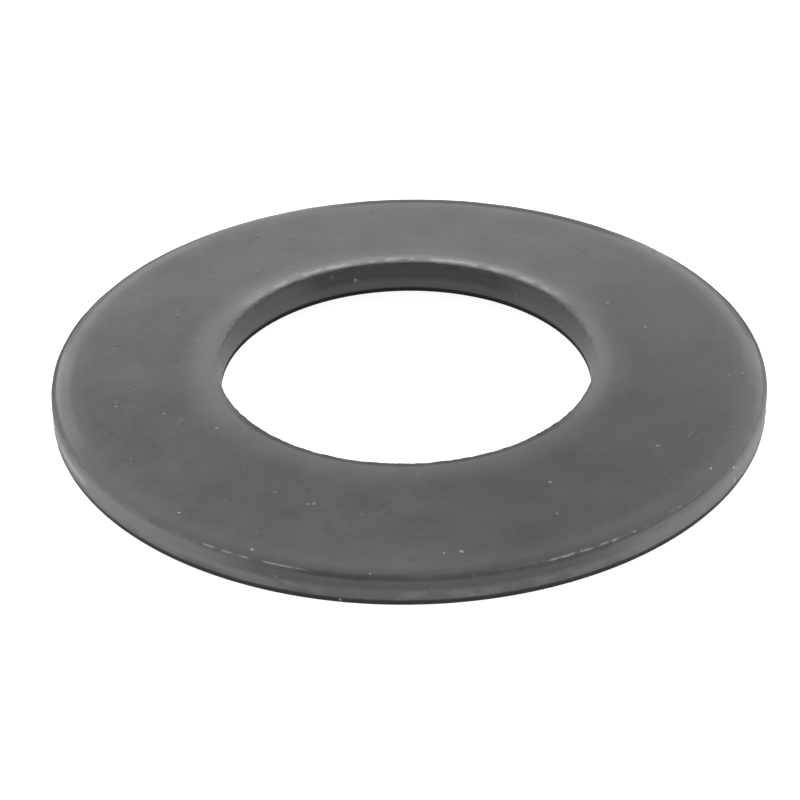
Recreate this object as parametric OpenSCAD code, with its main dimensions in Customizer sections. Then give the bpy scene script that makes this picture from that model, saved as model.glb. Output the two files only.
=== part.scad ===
// Conical spring washer: a flat ring sheared from spring steel sheet, then pressed into a
// shallow cone. It lies with the hollow side down: the foot of its rim rests on z = 0, and
// its axis is Z.

/* [Spring] */
// Outer diameter, over the widest part of the rim
outer_d = 31.5; // [26:0.1:60]
// Inner diameter, across the straight land in the bore
bore_d = 16.3; // [8:0.1:22]
// Thickness of the sheet, square to its faces
sheet_t = 1.5; // [1.2:0.05:2.5]
// Height of the cone: how far the free spring is pressed before it lies flat
cone_h = 0.9; // [0.2:0.05:1.6]

/* [Sheared rim] */
// Width of the rolled-over edge on the upper face, beside the rim
rim_roll_w = 0.65; // [0.2:0.05:1.2]
// Depth of that roll, down the rim
rim_roll_d = 0.18; // [0.05:0.01:0.19]
// Height of the torn zone at the foot of the rim
rim_tear_h = 0.55; // [0.3:0.05:0.8]
// How far the torn zone draws in at its foot
rim_tear_in = 0.03; // [0.01:0.01:0.2]

/* [Sheared bore] */
// Width of the rolled-over edge on the upper face, beside the bore
bore_roll_w = 0.9; // [0.2:0.05:1.5]
// Depth of that roll, down the bore
bore_roll_d = 0.06; // [0.05:0.01:0.19]
// Height of the straight land at the foot of the bore, which a guide pin runs in
bore_land_h = 0.5; // [0.3:0.05:0.8]

/* [Edges] */
// Radius left by tumbling on the lower edges of the rim and the bore
edge_r = 0.06; // [0.02:0.01:0.12]

/* [Hidden] */
$fn = 180;
outer_r = outer_d / 2;
bore_r = bore_d / 2;

// The section is drawn in the sheet's own frame, where x runs up the lower face from the
// bore's end to the rim's end and y runs up through the sheet. That frame is tipped by the
// cone's slope. The sheared ends stand square to the faces, so how far apart they are when
// seen from above depends on the slope, and the slope on that: a few rounds settle it.
function land_top(a) = bore_land_h * cos(a);
function level_w(a) = outer_r - bore_r - (sheet_t - rim_roll_d - land_top(a)) * sin(a);
function settle(a, rounds) = rounds == 0 ? a : settle(atan(cone_h / level_w(a)), rounds - 1);
slope = settle(0, 8);
sheet_w = cone_h / sin(slope);

// The foot of the rim: the torn zone leans in, and a small round joins it to the lower face.
tear_lean = atan(rim_tear_in / rim_tear_h);
rim_foot_x = sheet_w - rim_tear_in + edge_r * (sin(tear_lean) - 1) / cos(tear_lean);
// The foot of the bore: the straight land is upright in the washer, so it leans by the
// slope in the sheet's frame.
bore_foot_x = land_top(slope) * tan(slope) + edge_r * (1 - sin(slope)) / cos(slope);

// Where the sheet's frame stands in the washer: the land at its radius, the foot on z = 0
frame_r = bore_r - land_top(slope) * sin(slope);
frame_z = rim_foot_x * sin(slope) + edge_r * (1 - cos(slope));

// The ring's section before its upper corners roll over
module blank_section() {
    polygon([
        [bore_foot_x, 0],
        [rim_foot_x, 0],
        [rim_foot_x + edge_r * cos(tear_lean), edge_r * (1 - sin(tear_lean))],
        [sheet_w, rim_tear_h],
        [sheet_w, sheet_t],
        [0, sheet_t],
        [0, land_top(slope)],
        [bore_foot_x - edge_r * cos(slope), edge_r * (1 - sin(slope))]
    ]);
    for (foot_x = [bore_foot_x, rim_foot_x])
        translate([foot_x, edge_r])
            circle(edge_r);
}

// What a rolled-over corner lacks: the shears drag the skin down before they cut, in an arc
// that leaves the face smoothly. The corner is at 0, 0 with the face along +x.
module roll_gap(roll_w, roll_d) {
    roll_r = (roll_w * roll_w + roll_d * roll_d) / (2 * roll_d);
    difference() {
        translate([-roll_w, -roll_d])
            square([2 * roll_w, 2 * roll_d]);
        translate([roll_w, -roll_r])
            circle(roll_r);
    }
}

module sheet_section() {
    difference() {
        blank_section();
        translate([0, sheet_t])
            roll_gap(bore_roll_w, bore_roll_d);
        translate([sheet_w, sheet_t])
            mirror([1, 0])
                roll_gap(rim_roll_w, rim_roll_d);
    }
}

module washer() {
    color("dimgray")
        rotate_extrude()
            translate([frame_r, frame_z])
                rotate(-slope)
                    sheet_section();
}

washer();
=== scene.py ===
"""Conical spring washer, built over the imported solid, in metres in its own frame.

The steel is one closed ring. Its sheared section is drawn once and swept round by a tree of
geometry nodes, which also sets the bore off centre, wears the crests and lays the dust.
"""
import math

import bpy
from mathutils import Matrix, Vector


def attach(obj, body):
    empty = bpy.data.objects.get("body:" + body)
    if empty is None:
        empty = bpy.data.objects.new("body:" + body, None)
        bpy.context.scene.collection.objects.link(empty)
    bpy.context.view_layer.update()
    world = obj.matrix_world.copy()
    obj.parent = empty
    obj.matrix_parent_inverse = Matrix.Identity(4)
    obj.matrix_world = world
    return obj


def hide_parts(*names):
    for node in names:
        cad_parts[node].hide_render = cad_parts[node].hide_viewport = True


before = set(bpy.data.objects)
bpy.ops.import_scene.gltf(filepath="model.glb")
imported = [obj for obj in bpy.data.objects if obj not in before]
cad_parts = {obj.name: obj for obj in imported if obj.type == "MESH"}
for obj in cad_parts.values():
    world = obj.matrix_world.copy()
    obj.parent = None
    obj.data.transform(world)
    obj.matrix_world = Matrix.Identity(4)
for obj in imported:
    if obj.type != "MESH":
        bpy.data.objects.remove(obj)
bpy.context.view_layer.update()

MM = 0.001

# The washer's sizes in millimetres, the same as the solid's. Those of the rim's torn zone only
# say where the section stands, as the foot of the rim is drawn rounder here.
OUTER_R = 15.75
BORE_R = 8.15
SHEET_T = 1.5
CONE_H = 0.9
RIM_ROLL_W = 0.65
RIM_ROLL_D = 0.18
RIM_TEAR_H = 0.55
RIM_TEAR_IN = 0.03
BORE_ROLL_W = 0.9
BORE_ROLL_D = 0.06
BORE_LAND_H = 0.5
FOOT_R = 0.06

# Finer shape that the solid leaves out: tumbling rounds the two upper crests and the foot of
# the rim, the press leaves the rim's wall fuller than square at its foot, and the face bends
# down a little before the rim's roll, which takes its part of the roll's depth
RIM_CREST_R = 0.16
BORE_CREST_R = 0.1
RIM_FOOT_R = 0.22
RIM_FULLER = 0.085
CROWN_W = 1.6
CROWN_D = 0.04

SETTLE_ROUNDS = 8
# Steps that each part of the section's outline is drawn in
STEPS = {
    "under": 4, "rim foot": 10, "rim wall": 12, "crest": 8, "roll": 9, "crown": 5, "face": 8,
    "bore wall": 8, "land": 5, "bore foot": 5,
}


# ---- the section of the ring -----------------------------------------------------------

def cone_slope():
    """The slope of the sheet: the sheared ends lean with it, so a few rounds settle it."""
    slope = 0.0
    for _ in range(SETTLE_ROUNDS):
        wall = SHEET_T - RIM_ROLL_D - BORE_LAND_H * math.cos(slope)
        slope = math.atan(CONE_H / (OUTER_R - BORE_R - wall * math.sin(slope)))
    return slope


def stretch(start, end, steps):
    """Points along a straight stretch of the section, without its last."""
    return [
        (start[0] + (end[0] - start[0]) * i / steps, start[1] + (end[1] - start[1]) * i / steps)
        for i in range(steps)
    ]


def arc(centre, radius, start, end, steps):
    """Points along an arc of the section, between two angles in radians, without its last."""
    turns = [start + (end - start) * i / steps for i in range(steps)]
    return [
        (centre[0] + radius * math.cos(t), centre[1] + radius * math.sin(t))
        for t in turns
    ]


def rolled_corner(wall_x, side, roll_w, roll_d, crest_r):
    """A rolled-over corner: the crest round's centre, the roll's centre and radius, and the
    angle at which the two arcs meet. side is 1 at the rim and -1 at the bore, and the angle
    is measured for side 1."""
    roll_r = (roll_w ** 2 + roll_d ** 2) / (2 * roll_d)
    rise = math.sqrt((roll_r - crest_r) ** 2 - (roll_w - crest_r) ** 2)
    crest = (wall_x - side * crest_r, SHEET_T - roll_r + rise)
    roll = (wall_x - side * roll_w, SHEET_T - roll_r)
    return crest, roll, roll_r, math.atan2(rise, roll_w - crest_r)


def washer_section():
    """The closed outline of the section, as (radius, height, way down the rim, way down the
    bore) in mm. A way is measured along the skin from where the crest's round meets the wall:
    it is above 0 down the wall, and below 0 over the round and up the face."""
    quarter = math.pi / 2
    slope = cone_slope()
    sheet_w = CONE_H / math.sin(slope)
    middle = (sheet_w / 2, 0)

    # Where the sheet's frame stands in the washer: the solid's foot is on the floor
    land_top = BORE_LAND_H * math.cos(slope)
    lean = math.atan(RIM_TEAR_IN / RIM_TEAR_H)
    solid_foot_x = sheet_w - RIM_TEAR_IN + FOOT_R * (math.sin(lean) - 1) / math.cos(lean)
    frame_r = BORE_R - land_top * math.sin(slope)
    frame_z = solid_foot_x * math.sin(slope) + FOOT_R * (1 - math.cos(slope))

    bore_foot_x = land_top * math.tan(slope) + FOOT_R * (1 - math.sin(slope)) / math.cos(slope)
    bore_foot = (bore_foot_x, FOOT_R)
    bore_foot_top = (bore_foot_x - FOOT_R * math.cos(slope), FOOT_R * (1 - math.sin(slope)))
    rim_crest, rim_roll, rim_roll_r, rim_meet = rolled_corner(
        sheet_w, 1, RIM_ROLL_W, RIM_ROLL_D - CROWN_D, RIM_CREST_R)
    bore_crest, bore_roll, bore_roll_r, bore_meet = rolled_corner(
        0, -1, BORE_ROLL_W, BORE_ROLL_D, BORE_CREST_R)

    # The rim's rounder foot touches the floor, and the wall runs from it straight to the crest
    foot_x = sheet_w + RIM_FULLER - RIM_FOOT_R
    rim_foot = (foot_x, (RIM_FOOT_R - frame_z + foot_x * math.sin(slope)) / math.cos(slope))
    rim_top = (sheet_w, rim_crest[1] - CROWN_D)
    wall_turn = math.atan2(rim_top[1] - rim_foot[1], rim_top[0] - rim_foot[0]) - math.acos(
        RIM_FOOT_R / math.dist(rim_foot, rim_top))
    rim_foot_top = (rim_foot[0] + RIM_FOOT_R * math.cos(wall_turn),
                    rim_foot[1] + RIM_FOOT_R * math.sin(wall_turn))

    crown_end = (sheet_w - CROWN_W, SHEET_T)
    line = stretch(middle, (foot_x, rim_foot[1] - RIM_FOOT_R), STEPS["under"])
    line += arc(rim_foot, RIM_FOOT_R, -quarter, wall_turn, STEPS["rim foot"])
    line += stretch(rim_foot_top, rim_top, STEPS["rim wall"])
    rim_at = len(line)
    line += arc(rim_crest, RIM_CREST_R, 0, rim_meet, STEPS["crest"])
    line += arc(rim_roll, rim_roll_r, rim_meet, quarter, STEPS["roll"])
    line += stretch((sheet_w - RIM_ROLL_W, SHEET_T), crown_end, STEPS["crown"])
    line += stretch(crown_end, (BORE_ROLL_W, SHEET_T), STEPS["face"])
    line += arc(bore_roll, bore_roll_r, quarter, math.pi - bore_meet, STEPS["roll"])
    line += arc(bore_crest, BORE_CREST_R, math.pi - bore_meet, math.pi, STEPS["crest"])
    bore_at = len(line)
    line += stretch((0, bore_crest[1]), (0, land_top), STEPS["bore wall"])
    line += stretch((0, land_top), bore_foot_top, STEPS["land"])
    line += arc(bore_foot, FOOT_R, math.pi + slope, 3 * quarter, STEPS["bore foot"])
    line += stretch((bore_foot_x, 0), middle, STEPS["under"])

    for i in range(rim_at, bore_at):
        x, y = line[i]
        inside = min(1.0, (sheet_w - x) / CROWN_W)
        line[i] = (x, y - CROWN_D * (1 - inside) ** 2)

    gone = [0.0]
    for a, b in zip(line, line[1:]):
        gone.append(gone[-1] + math.dist(a, b))
    return [
        (
            frame_r + x * math.cos(slope) + y * math.sin(slope),
            frame_z - x * math.sin(slope) + y * math.cos(slope),
            gone[rim_at] - way,
            way - gone[bore_at],
        )
        for (x, y), way in zip(line, gone)
    ]


WAY_LIMIT = 3.0  # mm: past this the ways stay level, so the seam under the sheet never shows
SWEEP_R = 12.0  # mm: radius of the circle that the section is swept along


def section_mesh():
    """The section as a closed line in X and Y, with its ways as attributes."""
    points = washer_section()
    count = len(points)
    mesh = bpy.data.meshes.new("washer_section")
    verts = [((r - SWEEP_R) * MM, -z * MM, 0) for r, z, _, _ in points]
    mesh.from_pydata(verts, [(i, (i + 1) % count) for i in range(count)], [])
    for name, column in (("rim_way", 2), ("bore_way", 3)):
        values = [max(-WAY_LIMIT, min(WAY_LIMIT, p[column])) for p in points]
        mesh.attributes.new(name, "FLOAT", "POINT").data.foreach_set("value", values)
    return mesh


# ---- nodes ------------------------------------------------------------------------------

def add(tree, kind, feeds=None, **settings):
    """Adds one node. feeds gives its sockets, by name or number, a value or a link."""
    made = tree.nodes.new(kind)
    for name, value in settings.items():
        setattr(made, name, value)
    for socket, value in (feeds or {}).items():
        if isinstance(value, bpy.types.NodeSocket):
            tree.links.new(value, made.inputs[socket])
        else:
            made.inputs[socket].default_value = value
    return made


LEVEL = (1, 1, 0)  # times a place, this leaves its distance from the axis


def per_metre(size_mm):
    """The scale of a pattern whose features are this far apart."""
    return 1 / (size_mm * MM)


def linear(code):
    """A colour written as sRGB hex, as linear red, green, blue and alpha."""
    parts = [int(code[i:i + 2], 16) / 255 for i in (1, 3, 5)]
    low, steep, bend, power = 0.04045, 12.92, 0.055, 2.4
    return (*[
        c / steep if c <= low else ((c + bend) / (1 + bend)) ** power for c in parts
    ], 1.0)


# How a noise pattern is built up, and where its values mostly lie
NOISE_DETAIL = 3.0
NOISE_ROUGH = 0.6
NOISE_LOW, NOISE_MIDDLE, NOISE_HIGH = 0.3, 0.5, 0.7


# ---- the ring ---------------------------------------------------------------------------

# The tree's inputs: the kind of socket, and the value, in metres or per square metre
RING_INPUTS = {
    "Stations": ("NodeSocketInt", 900),
    "Sweep Radius": ("NodeSocketFloat", SWEEP_R * MM),
    "Bore Run-out": ("NodeSocketFloat", -0.12 * MM),
    "Rim Radius": ("NodeSocketFloat", OUTER_R * MM),
    "Bore Radius": ("NodeSocketFloat", BORE_R * MM),
    "Rim Wear": ("NodeSocketFloat", 0.02 * MM),
    "Bore Wear": ("NodeSocketFloat", 0.035 * MM),
    "Torn Depth": ("NodeSocketFloat", 0.03 * MM),
    "Grains Per Area": ("NodeSocketFloat", 0.1 / MM ** 2),
    "Grain Radius": ("NodeSocketFloat", 0.088 * MM),
    "Lint Per Area": ("NodeSocketFloat", 0.025 / MM ** 2),
    "Lint Length": ("NodeSocketFloat", 0.38 * MM),
    "Lint Radius": ("NodeSocketFloat", 0.016 * MM),
    "Seed": ("NodeSocketInt", 7),
}

# Where the skin is worn or torn away: the way, the middle and half width of the strip and the
# size of the pattern in mm, and the input that gives its depth
LOSSES = (
    ("rim_way", -0.12, 0.35, 1.1, "Rim Wear"),
    ("bore_way", -0.1, 0.28, 0.5, "Bore Wear"),
    ("rim_way", 0.9, 0.32, 0.25, "Torn Depth"),
)
# Levels of the noise where the skin is whole, and where the most is gone
LOSS_NONE, LOSS_MOST = 0.35, 0.7

DUST_TOP = 2.22  # mm: no dust on the highest ridge, so the ring keeps its height
GRAIN_ROUNDS = 1  # how finely a grain is divided
LINT_STEPS = 5
LINT_SIDES = 4
LINT_BOW = 0.5  # how far lint bends aside, as a share of half its length
# Bits of dust: the input that gives their number, how far a face has to look up to hold them
# (the height of its normal), and the least and most of their sizes
GRAINS = ("Grains Per Area", -0.2, (0.6, 0.5, 0.4), (1.5, 1.0, 0.6))
LINT = ("Lint Per Area", 0.985, (0.5, 0.2, 1.0), (1.4, 1.0, 1.0))


def sweep(tree, given):
    """Sweeps the section round a circle."""
    section = add(tree, "GeometryNodeMeshToCurve", {"Mesh": given["Section"]})
    circle = add(tree, "GeometryNodeCurvePrimitiveCircle", {
        "Resolution": given["Stations"], "Radius": given["Sweep Radius"],
    })
    upright = add(tree, "GeometryNodeSetCurveNormal", {"Curve": circle.outputs["Curve"]},
                  mode="Z_UP")
    skin = add(tree, "GeometryNodeCurveToMesh", {
        "Curve": upright.outputs[0], "Profile Curve": section.outputs[0],
    })
    return add(tree, "GeometryNodeFlipFaces", {"Mesh": skin.outputs[0]}).outputs[0]


def set_off_centre(tree, given, place, ring):
    """Shifts the bore aside: the whole of the run-out at the bore, none at the rim."""
    level = add(tree, "ShaderNodeVectorMath", {0: place, 1: LEVEL}, operation="MULTIPLY")
    radius = add(tree, "ShaderNodeVectorMath", {0: level.outputs[0]}, operation="LENGTH")
    share = add(tree, "ShaderNodeMapRange", {
        "Value": radius.outputs["Value"], "From Min": given["Rim Radius"],
        "From Max": given["Bore Radius"],
    })
    aside = add(tree, "ShaderNodeMath", {0: share.outputs["Result"], 1: given["Bore Run-out"]},
                operation="MULTIPLY")
    run_out = add(tree, "ShaderNodeCombineXYZ", {"X": aside.outputs[0]})
    return add(tree, "GeometryNodeSetPosition", {
        "Geometry": ring, "Offset": run_out.outputs[0],
    }).outputs[0]


def wear(tree, given, normal, ring):
    """Wears the crests and roughens the torn foot. Skin is only ever taken away."""
    for name, middle, half, size, depth in LOSSES:
        way = add(tree, "GeometryNodeInputNamedAttribute", {"Name": name}, data_type="FLOAT")
        apart = add(tree, "ShaderNodeMath", {0: way.outputs[0], 1: middle},
                    operation="SUBTRACT")
        off = add(tree, "ShaderNodeMath", {0: apart.outputs[0]}, operation="ABSOLUTE")
        strip = add(tree, "ShaderNodeMapRange", {
            "Value": off.outputs[0], "From Min": half, "From Max": 0.0,
        }, interpolation_type="SMOOTHSTEP")
        noise = add(tree, "ShaderNodeTexNoise", {
            "Scale": per_metre(size), "Detail": NOISE_DETAIL, "Roughness": NOISE_ROUGH,
        })
        taken = add(tree, "ShaderNodeMapRange", {
            "Value": noise.outputs["Fac"], "From Min": LOSS_NONE, "From Max": LOSS_MOST,
        })
        there = add(tree, "ShaderNodeMath", {
            0: strip.outputs["Result"], 1: taken.outputs["Result"],
        }, operation="MULTIPLY")
        loss = add(tree, "ShaderNodeMath", {0: there.outputs[0], 1: given[depth]},
                   operation="MULTIPLY")
        sunk = add(tree, "ShaderNodeVectorMath", {0: normal, "Scale": loss.outputs[0]},
                   operation="SCALE")
        inward = add(tree, "ShaderNodeVectorMath", {0: sunk.outputs[0], 1: (-1, -1, -1)},
                     operation="MULTIPLY")
        ring = add(tree, "GeometryNodeSetPosition", {
            "Geometry": ring, "Offset": inward.outputs[0],
        }).outputs[0]
    return ring


def bit_of_lint(tree, given):
    """A short bowed thread."""
    half_length = add(tree, "ShaderNodeMath", {0: given["Lint Length"], 1: 0.5},
                      operation="MULTIPLY").outputs[0]
    back = add(tree, "ShaderNodeMath", {0: half_length, 1: -1.0}, operation="MULTIPLY")
    bow = add(tree, "ShaderNodeMath", {0: half_length, 1: LINT_BOW}, operation="MULTIPLY")
    path = add(tree, "GeometryNodeCurveQuadraticBezier", {
        "Resolution": LINT_STEPS,
        "Start": add(tree, "ShaderNodeCombineXYZ", {"X": back.outputs[0]}).outputs[0],
        "Middle": add(tree, "ShaderNodeCombineXYZ", {"Y": bow.outputs[0]}).outputs[0],
        "End": add(tree, "ShaderNodeCombineXYZ", {"X": half_length}).outputs[0],
    })
    outline = add(tree, "GeometryNodeCurvePrimitiveCircle", {
        "Resolution": LINT_SIDES, "Radius": given["Lint Radius"],
    })
    return add(tree, "GeometryNodeCurveToMesh", {
        "Curve": path.outputs[0], "Profile Curve": outline.outputs["Curve"],
        "Fill Caps": True,
    }).outputs["Mesh"]


def strew(tree, given, ring, low, rising, bit, kind, seed):
    """Strews copies of one bit of dust over the faces that look up or out."""
    per_area, rise, least, most = kind
    own_seed = add(tree, "ShaderNodeMath", {0: given["Seed"], 1: seed}, operation="ADD")
    up = add(tree, "FunctionNodeCompare", {0: rising, 1: rise}, operation="GREATER_THAN")
    dusty = add(tree, "FunctionNodeBooleanMath", {0: up.outputs[0], 1: low}, operation="AND")
    spots = add(tree, "GeometryNodeDistributePointsOnFaces", {
        "Mesh": ring, "Selection": dusty.outputs[0],
        "Density": given[per_area], "Seed": own_seed.outputs[0],
    }, distribute_method="RANDOM")
    size = add(tree, "FunctionNodeRandomValue", {
        "Min": least, "Max": most, "Seed": own_seed.outputs[0],
    }, data_type="FLOAT_VECTOR")
    turn = add(tree, "FunctionNodeRandomValue", {
        "Min": (0, 0, 0), "Max": (0, 0, math.tau), "Seed": own_seed.outputs[0],
    }, data_type="FLOAT_VECTOR")
    spin = add(tree, "FunctionNodeEulerToRotation", {"Euler": turn.outputs[0]})
    lie = add(tree, "FunctionNodeRotateRotation", {
        "Rotation": spots.outputs["Rotation"], "Rotate By": spin.outputs[0],
    }, rotation_space="LOCAL")
    strewn = add(tree, "GeometryNodeInstanceOnPoints", {
        "Points": spots.outputs["Points"], "Instance": bit,
        "Rotation": lie.outputs[0], "Scale": size.outputs[0],
    })
    return add(tree, "GeometryNodeRealizeInstances", {"Geometry": strewn.outputs[0]}).outputs[0]


def ring_tree(steel, dust):
    """The tree that makes the whole ring, dust and all, from its section."""
    tree = bpy.data.node_groups.new("sweep_washer", "GeometryNodeTree")
    ends = tree.interface
    ends.new_socket("Section", in_out="INPUT", socket_type="NodeSocketGeometry")
    for name, (kind, value) in RING_INPUTS.items():
        ends.new_socket(name, in_out="INPUT", socket_type=kind).default_value = value
    ends.new_socket("Ring", in_out="OUTPUT", socket_type="NodeSocketGeometry")
    given = add(tree, "NodeGroupInput").outputs
    place = add(tree, "GeometryNodeInputPosition").outputs[0]
    normal = add(tree, "GeometryNodeInputNormal").outputs[0]

    ring = sweep(tree, given)
    ring = set_off_centre(tree, given, place, ring)
    ring = wear(tree, given, normal, ring)
    ring = add(tree, "GeometryNodeSetShadeSmooth", {"Geometry": ring}).outputs[0]
    clad = add(tree, "GeometryNodeSetMaterial", {"Geometry": ring, "Material": steel})

    both = add(tree, "GeometryNodeJoinGeometry", {"Geometry": clad.outputs[0]})
    height = add(tree, "ShaderNodeSeparateXYZ", {0: place}).outputs["Z"]
    rising = add(tree, "ShaderNodeSeparateXYZ", {0: normal}).outputs["Z"]
    low = add(tree, "FunctionNodeCompare", {0: height, 1: DUST_TOP * MM},
              operation="LESS_THAN").outputs[0]
    grain = add(tree, "GeometryNodeMeshIcoSphere", {
        "Radius": given["Grain Radius"], "Subdivisions": GRAIN_ROUNDS,
    }).outputs["Mesh"]
    lint = bit_of_lint(tree, given)
    for seed, (bit, kind) in enumerate(((grain, GRAINS), (lint, LINT))):
        laid = strew(tree, given, ring, low, rising, bit, kind, seed)
        dusted = add(tree, "GeometryNodeSetMaterial", {"Geometry": laid, "Material": dust})
        tree.links.new(dusted.outputs[0], both.inputs["Geometry"])
    add(tree, "NodeGroupOutput", {"Ring": both.outputs[0]})
    return tree


def make_washer(steel, dust):
    """Sweeps the section and leaves a plain mesh, with no modifier on it."""
    section = bpy.data.objects.new("washer_section", section_mesh())
    section.data.materials.append(steel)
    bpy.context.scene.collection.objects.link(section)
    tree = ring_tree(steel, dust)
    modifier = section.modifiers.new("sweep", "NODES")
    modifier.node_group = tree
    for item in tree.interface.items_tree:
        if item.in_out == "INPUT" and item.name in RING_INPUTS:
            modifier[item.identifier] = RING_INPUTS[item.name][1]
    done = section.evaluated_get(bpy.context.evaluated_depsgraph_get())
    mesh = bpy.data.meshes.new_from_object(done)
    mesh.name = "washer_steel"
    mesh.materials.pop(index=0)
    bpy.data.objects.remove(section)
    washer = bpy.data.objects.new("washer_steel", mesh)
    bpy.context.scene.collection.objects.link(washer)
    return washer


# ---- finishes ---------------------------------------------------------------------------

def bare_material(name):
    """A material and its tree, with nothing in it yet."""
    material = bpy.data.materials.new(name)
    material.use_nodes = True
    material.node_tree.nodes.clear()
    return material, material.node_tree


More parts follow.
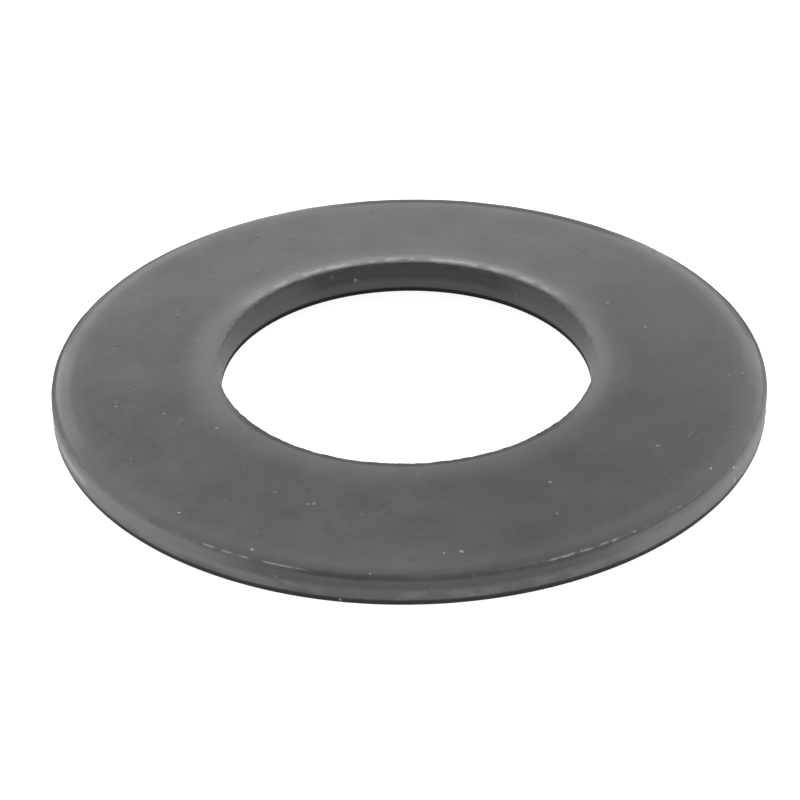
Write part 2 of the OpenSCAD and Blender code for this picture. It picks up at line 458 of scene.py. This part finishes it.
# The oxide film and what lies over it, each layer over the ones before, with painted shade and
# painted sheen among the layers. A layer's place in the table seeds its patterns. A strip gives
# where it starts, is full, starts to fade and ends, in mm along its way. A ragged strip wanders,
# by a pattern of this size and reach in mm. Patches break it up: size in mm, and the pattern's
# levels where it starts to show and is full. A sector is a direction in degrees, from the front
# to the right, and half its angle. Matt is how dull a layer of painted shade makes the skin.
LAYERS = (
    # painted shade on the right and at the back, painted light at the front
    {"hue": "#4c4c4c", "share": 0.26, "sector": (72, 60)},
    {"hue": "#4c4c4c", "share": 0.1, "sector": (140, 80)},
    {"hue": "#808080", "share": 0.12, "sector": (-15, 34)},
    {"hue": "#8c8c8c", "share": 0.16, "way": "rim_way", "strip": (-3.0, -1.8, -0.5, -0.3),
     "sector": (-4, 14)},
    # oil dried in it, olive where it is thickest, and dark specks of it
    {"hue": "#66665c", "share": 0.35, "patches": (2.5, 0.54, 0.7)},
    {"hue": "#383838", "share": 0.35, "patches": (0.45, 0.68, 0.76)},
    # film rubbed thin beside the rim and the bore, and painted sheen on the rolled edges
    # where they face the sides and the back
    {"hue": "#8c8c8c", "share": 0.35, "way": "rim_way", "strip": (-1.9, -0.6, -0.3, -0.2)},
    {"hue": "#a4a4a4", "share": 0.35, "way": "rim_way", "strip": (-1.15, -0.8, -0.48, -0.34),
     "ragged": (1.5, 0.15), "sector": (-84, 14)},
    {"hue": "#a4a4a4", "share": 0.3, "way": "rim_way", "strip": (-1.2, -0.85, -0.64, -0.5),
     "ragged": (1.5, 0.15), "sector": (-116, 26)},
    {"hue": "#a4a4a4", "share": 0.3, "way": "rim_way", "strip": (-1.2, -0.8, -0.6, -0.46),
     "ragged": (1.5, 0.15), "sector": (116, 28)},
    {"hue": "#929292", "share": 0.4, "way": "bore_way", "strip": (-2.1, -0.4, -0.2, -0.1)},
    {"hue": "#9a9a9a", "share": 0.35, "way": "bore_way", "strip": (-2.0, -0.3, -0.16, -0.06),
     "sector": (-104, 46)},
    {"hue": "#a2a2a2", "share": 0.35, "way": "bore_way", "strip": (-1.0, -0.3, -0.16, -0.06),
     "sector": (86, 28)},
    # sheared rim: burnished, with painted shade atop the front of its wall, then torn in patches
    {"hue": "#686867", "share": 1.0, "way": "rim_way", "strip": (-0.06, 0.02, 1.2, 1.3)},
    {"hue": "#505050", "share": 0.6, "way": "rim_way", "strip": (-0.16, -0.1, 0.25, 0.45),
     "ragged": (1.2, 0.2), "sector": (-6, 34), "matt": 0.7},
    {"hue": "#808080", "share": 0.6, "way": "rim_way", "strip": (0.35, 0.55, 0.8, 0.98),
     "ragged": (0.8, 0.4), "patches": (1.3, 0.42, 0.56)},
    # flats where the crest is burnished, scalloped along the face
    {"hue": "#909090", "share": 0.5, "way": "rim_way", "strip": (-0.3, -0.2, 0.45, 0.75),
     "ragged": (1.0, 0.7), "sector": (-57, 28)},
    {"hue": "#949494", "share": 0.46, "way": "rim_way", "strip": (-0.1, 0.25, 0.8, 1.1),
     "ragged": (1.0, 0.5), "sector": (61, 24)},
    # painted shade: a dark line along the rim's crest, mostly at the back, short painted shadow
    # lines on its front crest, and painted contact shade at its foot
    {"hue": "#101010", "share": 0.66, "way": "rim_way", "strip": (-0.4, -0.28, 0.0, 0.08),
     "ragged": (1.5, 0.1), "sector": (186, 98), "matt": 1.0},
    {"hue": "#101010", "share": 0.5, "way": "rim_way", "strip": (-1.0, -0.76, -0.3, -0.2),
     "ragged": (1.5, 0.1), "sector": (165, 26), "matt": 1.0},
    {"hue": "#101010", "share": 0.35, "way": "rim_way", "strip": (-0.66, -0.5, -0.3, -0.2),
     "ragged": (1.5, 0.1), "sector": (-124, 22), "matt": 1.0},
    {"hue": "#101010", "share": 0.35, "way": "rim_way", "strip": (-0.66, -0.5, -0.3, -0.2),
     "ragged": (1.5, 0.1), "sector": (114, 14), "matt": 1.0},
    {"hue": "#242424", "share": 0.5, "way": "rim_way", "strip": (-0.44, -0.34, -0.18, -0.06),
     "ragged": (1.5, 0.16), "sector": (-9, 9), "matt": 0.7},
    {"hue": "#2e2e2e", "share": 0.38, "way": "rim_way", "strip": (-0.42, -0.32, -0.16, -0.04),
     "ragged": (1.5, 0.16), "sector": (8, 5), "matt": 0.7},
    {"hue": "#2a2a2a", "share": 0.6, "way": "rim_way", "strip": (0.82, 0.96, 1.5, 1.8),
     "ragged": (2.5, 0.08), "matt": 0.6},
    {"hue": "#1c1c1c", "share": 0.75, "way": "rim_way", "strip": (0.81, 0.93, 1.5, 1.8),
     "ragged": (2.5, 0.08), "sector": (-2, 64), "matt": 0.8},
    # sheared bore: painted shade over its wall, deepest at the back and lighter at the sides, a
    # paler land below it, a painted shadow at its foot and a painted dark line on its front
    # crest
    {"hue": "#3a3a39", "share": 1.0, "way": "bore_way", "strip": (-0.08, 0.08, 1.4, 1.5),
     "ragged": (0.45, 0.32)},
    {"hue": "#3a3a39", "share": 0.6, "way": "bore_way", "strip": (-0.24, -0.08, 0.1, 0.3),
     "ragged": (0.4, 0.34), "sector": (180, 52)},
    {"hue": "#50504e", "share": 1.0, "way": "bore_way", "strip": (0.5, 0.85, 1.2, 1.3),
     "ragged": (1.5, 0.2)},
    {"hue": "#6e6e6c", "share": 0.5, "way": "bore_way", "strip": (-0.16, 0.1, 1.0, 1.1),
     "ragged": (0.7, 0.3), "sector": (-112, 34)},
    {"hue": "#6e6e6c", "share": 0.4, "way": "bore_way", "strip": (-0.16, 0.1, 1.0, 1.1),
     "ragged": (0.7, 0.3), "sector": (112, 32)},
    {"hue": "#060606", "share": 0.97, "way": "bore_way", "strip": (1.08, 1.17, 1.4, 1.7),
     "matt": 1.0},
    {"hue": "#1c1c1c", "share": 0.65, "way": "bore_way", "strip": (-0.42, -0.32, 0.0, 0.2),
     "ragged": (1.5, 0.08), "sector": (-4, 58)},
    # bare steel where the crests have worn through the film, and nicks on the right
    {"hue": "#a6a6a4", "share": 0.62, "way": "bore_way", "strip": (-0.96, -0.62, -0.4, -0.2),
     "ragged": (0.8, 0.3), "sector": (182, 54)},
    {"hue": "#c8c8c6", "share": 0.85, "way": "bore_way", "strip": (-0.62, -0.46, -0.34, -0.2),
     "ragged": (0.7, 0.34), "patches": (0.7, 0.36, 0.58), "sector": (182, 50)},
    {"hue": "#c4c4c2", "share": 0.8, "way": "rim_way", "strip": (-0.37, -0.33, -0.3, -0.24),
     "ragged": (1.0, 0.1), "patches": (0.6, 0.4, 0.58), "sector": (-28, 10)},
    {"hue": "#c4c4c2", "share": 0.8, "way": "rim_way", "strip": (-0.38, -0.33, -0.3, -0.23),
     "ragged": (1.0, 0.12), "patches": (0.4, 0.44, 0.62), "sector": (34, 15)},
    {"hue": "#c4c4c2", "share": 0.75, "way": "rim_way", "strip": (0.18, 0.38, 0.46, 0.66),
     "ragged": (1.2, 0.5), "patches": (0.9, 0.35, 0.5), "sector": (-70, 7)},
    {"hue": "#eaeae8", "share": 0.95, "way": "rim_way", "strip": (-0.2, -0.1, 0.8, 0.9),
     "patches": (0.3, 0.6, 0.68), "sector": (63.5, 2)},
    # painted shade to the right of the bore, film rubbed along the rim's crest with painted
    # sheen on the right, and flecked with dirt
    {"hue": "#4c4c4c", "share": 0.16, "way": "bore_way", "strip": (-3.0, -2.2, -1.2, -0.7),
     "sector": (86, 30)},
    {"hue": "#a0a0a0", "share": 0.22, "way": "rim_way", "strip": (-0.26, -0.16, -0.06, 0.04),
     "ragged": (1.0, 0.16), "sector": (62, 26)},
    {"hue": "#949492", "share": 0.3, "patches": (0.45, 0.68, 0.76)},
    # painted dark line on the bore's crest, on both sides of the front
    {"hue": "#1c1c1c", "share": 0.5, "way": "bore_way", "strip": (-0.22, -0.14, 0.0, 0.2),
     "sector": (-59, 18)},
    {"hue": "#1c1c1c", "share": 0.5, "way": "bore_way", "strip": (-0.22, -0.14, 0.0, 0.2),
     "sector": (57, 18)},
)


# The film itself, never quite even: size of the clouds in mm, detail, and the hues of a thin
# and a thick film
FILM_HUE = "#686868"
CLOUD_SHARE = 0.5
FILM_CLOUDS = (
    (2.6, 4.0, "#8e8e8e", "#484848"),
    (0.35, 3.0, "#717171", "#606060"),
)
# Metallic, roughness and coat of the oiled film, and of the painted shade, which hides the metal
# and is dull
FILM_FINISH = (0.6, 0.4, 0.6)
PAINTED_SHADE_FINISH = (0.0, 0.8, 0.0)
OIL_ROUGH = 0.3
BLAST_GRAIN = 0.12  # mm
BLAST_DEPTH = 0.01  # mm
BLAST_STRENGTH = 0.1
PATCH_DETAIL = 2.0
# Where a layer's sector is whole and where it has faded out, as shares of half its angle
SECTOR_WHOLE, SECTOR_NONE = 0.75, 1.25


def layer_mask(tree, layer, seed, place, around, ways):
    """Where a layer lies: 1 where it is whole, 0 where there is none of it."""
    factors = []
    along = ways.get(layer.get("way"))
    if "ragged" in layer:
        size, reach = layer["ragged"]
        noise = add(tree, "ShaderNodeTexNoise", {
            "Vector": place, "W": seed, "Scale": per_metre(size), "Detail": NOISE_DETAIL,
            "Roughness": NOISE_ROUGH,
        }, noise_dimensions="4D")
        shift = add(tree, "ShaderNodeMath", {0: noise.outputs["Fac"], 1: NOISE_MIDDLE},
                    operation="SUBTRACT")
        along = add(tree, "ShaderNodeMath", {0: shift.outputs[0], 1: reach, 2: along},
                    operation="MULTIPLY_ADD").outputs[0]
    if "strip" in layer:
        start, full, fade, end = layer["strip"]
        factors += [
            add(tree, "ShaderNodeMapRange", {
                "Value": along, "From Min": none, "From Max": whole,
            }, interpolation_type="SMOOTHSTEP").outputs["Result"]
            for none, whole in ((start, full), (end, fade))
        ]
    if "patches" in layer:
        size, none, whole = layer["patches"]
        noise = add(tree, "ShaderNodeTexNoise", {
            "Vector": place, "W": -seed, "Scale": per_metre(size), "Detail": PATCH_DETAIL,
        }, noise_dimensions="4D")
        factors.append(add(tree, "ShaderNodeMapRange", {
            "Value": noise.outputs["Fac"], "From Min": none, "From Max": whole,
        }, interpolation_type="SMOOTHSTEP").outputs["Result"])
    if "sector" in layer:
        turn, half = [math.radians(angle) for angle in layer["sector"]]
        toward = (math.sin(turn), -math.cos(turn), 0)
        facing = add(tree, "ShaderNodeVectorMath", {0: around, 1: toward},
                     operation="DOT_PRODUCT")
        factors.append(add(tree, "ShaderNodeMapRange", {
            "Value": facing.outputs["Value"], "From Min": math.cos(half * SECTOR_NONE),
            "From Max": math.cos(half * SECTOR_WHOLE),
        }, interpolation_type="SMOOTHSTEP").outputs["Result"])
    mask = layer["share"]
    for factor in factors:
        mask = add(tree, "ShaderNodeMath", {0: factor, 1: mask}, operation="MULTIPLY").outputs[0]
    return mask


def oxided_spring_steel():
    """Spring steel, blasted, black-oxided and oiled: dull satin, dark grey, with the metal
    showing through where the film is thin, painted sheen on the rolled edges, and dull painted
    shade, near black, along the crests, at the rim's foot and in the bore."""
    material, tree = bare_material("black_oxided_spring_steel")
    place = add(tree, "ShaderNodeTexCoord").outputs["Object"]
    level = add(tree, "ShaderNodeVectorMath", {0: place, 1: LEVEL}, operation="MULTIPLY")
    around = add(tree, "ShaderNodeVectorMath", {0: level.outputs[0]},
                 operation="NORMALIZE").outputs[0]
    ways = {
        name: add(tree, "ShaderNodeAttribute", attribute_name=name).outputs["Fac"]
        for name in ("rim_way", "bore_way")
    }

    colour = linear(FILM_HUE)
    for size, detail, thin, thick in FILM_CLOUDS:
        noise = add(tree, "ShaderNodeTexNoise", {
            "Vector": place, "Scale": per_metre(size), "Detail": detail,
            "Roughness": NOISE_ROUGH,
        })
        cloudy = add(tree, "ShaderNodeMapRange", {
            "Value": noise.outputs["Fac"], "From Min": NOISE_LOW, "From Max": NOISE_HIGH,
        })
        shade = add(tree, "ShaderNodeMix", {
            "Factor": cloudy.outputs["Result"], 6: linear(thin), 7: linear(thick),
        }, data_type="RGBA")
        colour = add(tree, "ShaderNodeMix", {
            "Factor": CLOUD_SHARE, 6: colour, 7: shade.outputs[2],
        }, data_type="RGBA").outputs[2]
    matt = 0.0
    for seed, layer in enumerate(LAYERS, 1):
        mask = layer_mask(tree, layer, float(seed), place, around, ways)
        colour = add(tree, "ShaderNodeMix", {
            "Factor": mask, 6: colour, 7: linear(layer["hue"]),
        }, data_type="RGBA").outputs[2]
        # a layer of painted shade also dulls the skin, by its matt share
        if "matt" in layer:
            matt = add(tree, "ShaderNodeMix", {
                "Factor": mask, 2: matt, 3: layer["matt"],
            }, data_type="FLOAT").outputs[0]

    grain = add(tree, "ShaderNodeTexNoise", {
        "Vector": place, "Scale": per_metre(BLAST_GRAIN), "Detail": NOISE_DETAIL,
        "Roughness": NOISE_ROUGH,
    })
    bump = add(tree, "ShaderNodeBump", {
        "Height": grain.outputs["Fac"], "Strength": BLAST_STRENGTH,
        "Distance": BLAST_DEPTH * MM,
    })
    # the painted shade takes the dull finish where its layers lie
    metal, rough, oil = [
        add(tree, "ShaderNodeMapRange", {
            "Value": matt, "To Min": clean, "To Max": shaded,
        }).outputs["Result"]
        for clean, shaded in zip(FILM_FINISH, PAINTED_SHADE_FINISH)
    ]
    skin = add(tree, "ShaderNodeBsdfPrincipled", {
        "Base Color": colour, "Metallic": metal, "Roughness": rough,
        "Normal": bump.outputs[0], "Coat Weight": oil, "Coat Roughness": OIL_ROUGH,
    })
    add(tree, "ShaderNodeOutputMaterial", {"Surface": skin.outputs[0]})
    return material


DUST_GRUBBY, DUST_PALE = "#767572", "#b6b5b2"
DUST_SPREAD = 0.5  # mm: how far apart pale and grubby bits of dust lie
DUST_ROUGH = 0.95


def house_dust():
    """House dust: matt, some of it pale and some grubby."""
    material, tree = bare_material("house_dust")
    place = add(tree, "ShaderNodeTexCoord").outputs["Object"]
    noise = add(tree, "ShaderNodeTexNoise", {"Vector": place, "Scale": per_metre(DUST_SPREAD)})
    pale = add(tree, "ShaderNodeMapRange", {
        "Value": noise.outputs["Fac"], "From Min": NOISE_LOW, "From Max": NOISE_HIGH,
    })
    shade = add(tree, "ShaderNodeMix", {
        "Factor": pale.outputs["Result"], 6: linear(DUST_GRUBBY), 7: linear(DUST_PALE),
    }, data_type="RGBA")
    skin = add(tree, "ShaderNodeBsdfPrincipled", {
        "Base Color": shade.outputs[2], "Roughness": DUST_ROUGH,
    })
    add(tree, "ShaderNodeOutputMaterial", {"Surface": skin.outputs[0]})
    return material


# ---- studio -----------------------------------------------------------------------------

# How much light is added to the paper floor where it is seen: the first makes it white in the
# picture, the second in reflections, and the shadow at the foot of the rim still darkens it
FLOOR_LIFT = 0.88
FLOOR_LIFT_REFLECTED = 0.12
FLOOR_HALF = 2.0  # m
PAPER_HUE = "#f4f4f4"


def white_floor():
    """A sheet of matt white paper."""
    material, tree = bare_material("white_paper")
    rays = add(tree, "ShaderNodeLightPath").outputs
    reflected = add(tree, "ShaderNodeMath", {
        0: rays["Is Glossy Ray"], 1: rays["Is Transmission Ray"],
    }, operation="ADD")
    soft = add(tree, "ShaderNodeMath", {0: reflected.outputs[0], 1: FLOOR_LIFT_REFLECTED},
               operation="MULTIPLY")
    lift = add(tree, "ShaderNodeMath", {
        0: rays["Is Camera Ray"], 1: FLOOR_LIFT, 2: soft.outputs[0],
    }, operation="MULTIPLY_ADD")
    paper = add(tree, "ShaderNodeBsdfDiffuse", {"Color": linear(PAPER_HUE)})
    glow = add(tree, "ShaderNodeEmission", {"Strength": lift.outputs[0]})
    both = add(tree, "ShaderNodeAddShader", {0: paper.outputs[0], 1: glow.outputs[0]})
    add(tree, "ShaderNodeOutputMaterial", {"Surface": both.outputs[0]})
    corners = [
        (x * FLOOR_HALF, y * FLOOR_HALF, 0) for x, y in ((-1, -1), (1, -1), (1, 1), (-1, 1))
    ]
    mesh = bpy.data.meshes.new("floor")
    mesh.from_pydata(corners, [], [(0, 1, 2, 3)])
    mesh.materials.append(material)
    floor = bpy.data.objects.new("floor", mesh)
    bpy.context.scene.collection.objects.link(floor)


# The sky as polished metal sees it: white at floor level all round, greyer overhead, dark
# above the camera, with a soft panel behind on each side. A share is none of it at the first
# place along its axis and the whole at the second; a level holds where its shares meet.
SKY_SHARES = (
    ("high", "Z", 0.2, 0.8),
    ("zenith", "Z", 0.75, 0.98),
    ("forward", "Y", -0.4, -0.8),
    ("above", "Z", 0.25, 0.4),
    ("aside", "X", 0.2, 0.42),
    ("behind", "Y", 0.3, 0.6),
    ("low", "Z", 0.5, 0.36),
)
SKY_LEVELS = (
    (("aside", "behind", "low"), 1.6),
    (("high",), 0.51),
    (("zenith",), 0.24),
    (("forward", "above"), 0.1),
)
SKY_LOW = 0.8  # at floor level, and from everywhere for light that scatters
BACKDROP = 1.0  # where it is seen straight: white
SKY_HUE = "#ffffff"


def studio_world():
    """Plain soft light, even for whatever scatters it, with a sky for whatever mirrors it."""
    world = bpy.data.worlds.new("studio")
    world.use_nodes = True
    tree = world.node_tree
    tree.nodes.clear()
    way = add(tree, "ShaderNodeTexCoord").outputs["Generated"]
    parts = add(tree, "ShaderNodeSeparateXYZ", {0: way}).outputs
    aside = add(tree, "ShaderNodeMath", {0: parts["X"]}, operation="ABSOLUTE").outputs[0]
    axes = {"X": aside, "Y": parts["Y"], "Z": parts["Z"]}
    shares = {
        name: add(tree, "ShaderNodeMapRange", {
            "Value": axes[axis], "From Min": none, "From Max": whole,
        }, interpolation_type="SMOOTHSTEP").outputs["Result"]
        for name, axis, none, whole in SKY_SHARES
    }
    mirrored = SKY_LOW
    for names, level in SKY_LEVELS:
        share = 1.0
        for name in names:
            share = add(tree, "ShaderNodeMath", {0: shares[name], 1: share},
                        operation="MULTIPLY").outputs[0]
        mirrored = add(tree, "ShaderNodeMix", {"Factor": share, 2: mirrored, 3: level},
                       data_type="FLOAT").outputs[0]
    rays = add(tree, "ShaderNodeLightPath").outputs
    sharp = add(tree, "ShaderNodeMath", {
        0: rays["Is Glossy Ray"], 1: rays["Is Transmission Ray"],
    }, operation="ADD")
    level = add(tree, "ShaderNodeMix", {
        "Factor": sharp.outputs[0], 2: SKY_LOW, 3: mirrored,
    }, data_type="FLOAT").outputs[0]
    level = add(tree, "ShaderNodeMix", {
        "Factor": rays["Is Camera Ray"], 2: level, 3: BACKDROP,
    }, data_type="FLOAT").outputs[0]
    sky = add(tree, "ShaderNodeBackground", {"Color": linear(SKY_HUE), "Strength": level})
    add(tree, "ShaderNodeOutputWorld", {"Surface": sky.outputs[0]})
    bpy.context.scene.world = world


# The camera: its angles in degrees, its distance and shifts and its lens and sensor in mm, and
# in metres how near it starts to see
CAMERA_HEIGHT = 32.412
CAMERA_TILT = 0.894
CAMERA_AWAY = 222
CAMERA_ASIDE, CAMERA_RAISED = 0.413, -0.174
LENS = 226.23
SENSOR_W = 36
NEAREST = 0.01


def front_camera():
    """A long lens at the front, looking down on the washer and turned by a degree."""
    height = math.radians(CAMERA_HEIGHT)
    tilt = math.radians(CAMERA_TILT)
    distance = CAMERA_AWAY * MM
    aside, raised = CAMERA_ASIDE * MM, CAMERA_RAISED * MM
    back = Vector((0, -math.cos(height), math.sin(height)))
    level = Vector((1, 0, 0))
    steep = back.cross(level)
    right = math.cos(tilt) * level - math.sin(tilt) * steep
    up = math.sin(tilt) * level + math.cos(tilt) * steep
    data = bpy.data.cameras.new("camera")
    data.lens = LENS
    data.sensor_width = SENSOR_W
    data.clip_start = NEAREST
    camera = bpy.data.objects.new("camera", data)
    camera.matrix_world = Matrix((right, up, back)).transposed().to_4x4()
    camera.location = distance * back - aside * right - raised * up
    bpy.context.scene.collection.objects.link(camera)
    bpy.context.scene.camera = camera


front_camera()
washer = make_washer(oxided_spring_steel(), house_dust())
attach(washer, "root")
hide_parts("washer")
white_floor()
studio_world()
bpy.context.scene.view_settings.view_transform = "Standard"
